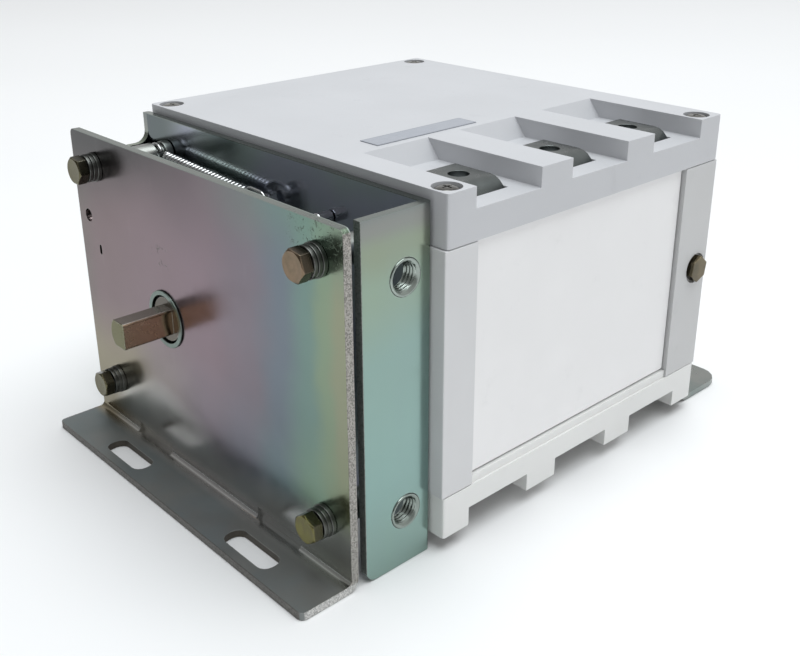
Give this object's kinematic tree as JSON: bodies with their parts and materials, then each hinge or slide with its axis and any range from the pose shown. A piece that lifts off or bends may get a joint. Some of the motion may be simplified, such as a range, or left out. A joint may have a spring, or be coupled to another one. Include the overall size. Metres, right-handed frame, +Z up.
{
  "type": "rotary isolating switch",
  "caption": "Multi-pole rotary power isolating switch: white box with top and bottom terminals, folded zinc mechanism frame, sprung detent, flat-ended drive shaft and slotted feet.",
  "frame": {"origin": "middle of the overall box at the mounting plane, under the feet", "axes": "+X towards the terminals, +Y from the drive shaft end to the rear foot, +Z up through the top cover"},
  "size_m": [0.1824, 0.2488, 0.1343],
  "materials": {
    "barrier_board": "pressed insulating board",
    "bearing_brass": "turned brass",
    "bolt_zinc": "olive passivated zinc plate",
    "bright_steel": "bright nickel-plated steel",
    "carrier_moulding": "red-brown moulded insulation",
    "channel_zinc": "bright zinc plate with a blue-green passivation film",
    "contact_copper": "bare copper alloy",
    "cover_moulding": "fine satin moulding, bluish light grey",
    "foot_zinc": "dull zinc plate",
    "label": "blank silver-grey film label",
    "plate_zinc": "bright zinc plate with a mauve to green passivation film",
    "shaft_steel": "ground steel with a brown film",
    "side_panel": "smooth satin sheet, warm off-white",
    "terminal_tin": "tin-plated metal strip, dull grey",
    "wall_moulding": "fine satin moulding, light grey",
    "washer_steel": "dark passivated zinc plate"
  },
  "bodies": {
    "frame": {"top_cover": "cover_moulding", "bottom_cover": "cover_moulding", "front_wall": "wall_moulding", "rear_wall": "wall_moulding", "side_panel_right": "side_panel", "side_panel_left": "side_panel", "phase_barrier_front": "barrier_board", "phase_barrier_rear": "barrier_board", "blank_label": "label", "top_cover_screw_1": "bolt_zinc", "bottom_cover_screw_1": "bolt_zinc", "top_cover_screw_2": "bolt_zinc", "bottom_cover_screw_2": "bolt_zinc", "top_cover_screw_3": "bolt_zinc", "bottom_cover_screw_3": "bolt_zinc", "top_cover_screw_4": "bolt_zinc", "bottom_cover_screw_4": "bolt_zinc", "line_terminal_1": "terminal_tin", "load_terminal_1": "terminal_tin", "line_terminal_2": "terminal_tin", "load_terminal_2": "terminal_tin", "line_terminal_3": "terminal_tin", "load_terminal_3": "terminal_tin", "front_bearing": "bearing_brass", "rear_bearing": "bearing_brass", "mechanism_channel": "channel_zinc", "front_plate": "plate_zinc", "shaft_bush": "plate_zinc", "plate_bolt_1": "bolt_zinc", "plate_washer_1": "washer_steel", "standoff_post_1": "foot_zinc", "plate_bolt_2": "bolt_zinc", "plate_washer_2": "washer_steel", "standoff_post_2": "foot_zinc", "plate_bolt_3": "bolt_zinc", "plate_washer_3": "washer_steel", "standoff_post_3": "foot_zinc", "plate_bolt_4": "bolt_zinc", "plate_washer_4": "washer_steel", "standoff_post_4": "foot_zinc", "press_nut_1": "bright_steel", "press_nut_2": "bright_steel", "lever_pivot_pin": "bright_steel", "stop_stud": "bright_steel", "detent_spring": "bright_steel", "rear_foot": "foot_zinc", "foot_screw_left": "bolt_zinc", "side_bolt_left": "bolt_zinc", "foot_screw_right": "bolt_zinc", "side_bolt_right": "bolt_zinc"},
    "rotor": {"main_shaft": "shaft_steel", "detent_wheel": "shaft_steel", "moving_contact_1": "contact_copper", "moving_contact_2": "contact_copper", "moving_contact_3": "contact_copper", "contact_carrier_1": "carrier_moulding", "contact_carrier_2": "carrier_moulding", "contact_carrier_3": "carrier_moulding"},
    "lever": {"detent_lever": "bright_steel"},
    "roller": {"detent_roller": "bright_steel"}
  },
  "joints": [
    {"name": "shaft_turn", "type": "hinge", "parent": "frame", "child": "rotor", "pos_m": [-0.025, 0, 0.066], "axis": [0, 1, 0], "range_deg": [0, 90]},
    {"name": "lever_swing", "type": "hinge", "parent": "frame", "child": "lever", "pos_m": [0.014, -0.08, 0.036], "axis": [0, 1, 0], "range_deg": [-3.2, 0], "stiffness_Nm_per_rad": 1.8, "springref_deg": -38.39, "deforming": ["detent_spring"]},
    {"name": "roller_spin", "type": "hinge", "parent": "lever", "child": "roller", "pos_m": [0.00861, -0.075, 0.07501], "axis": [0, 1, 0], "continuous": true}
  ]
}
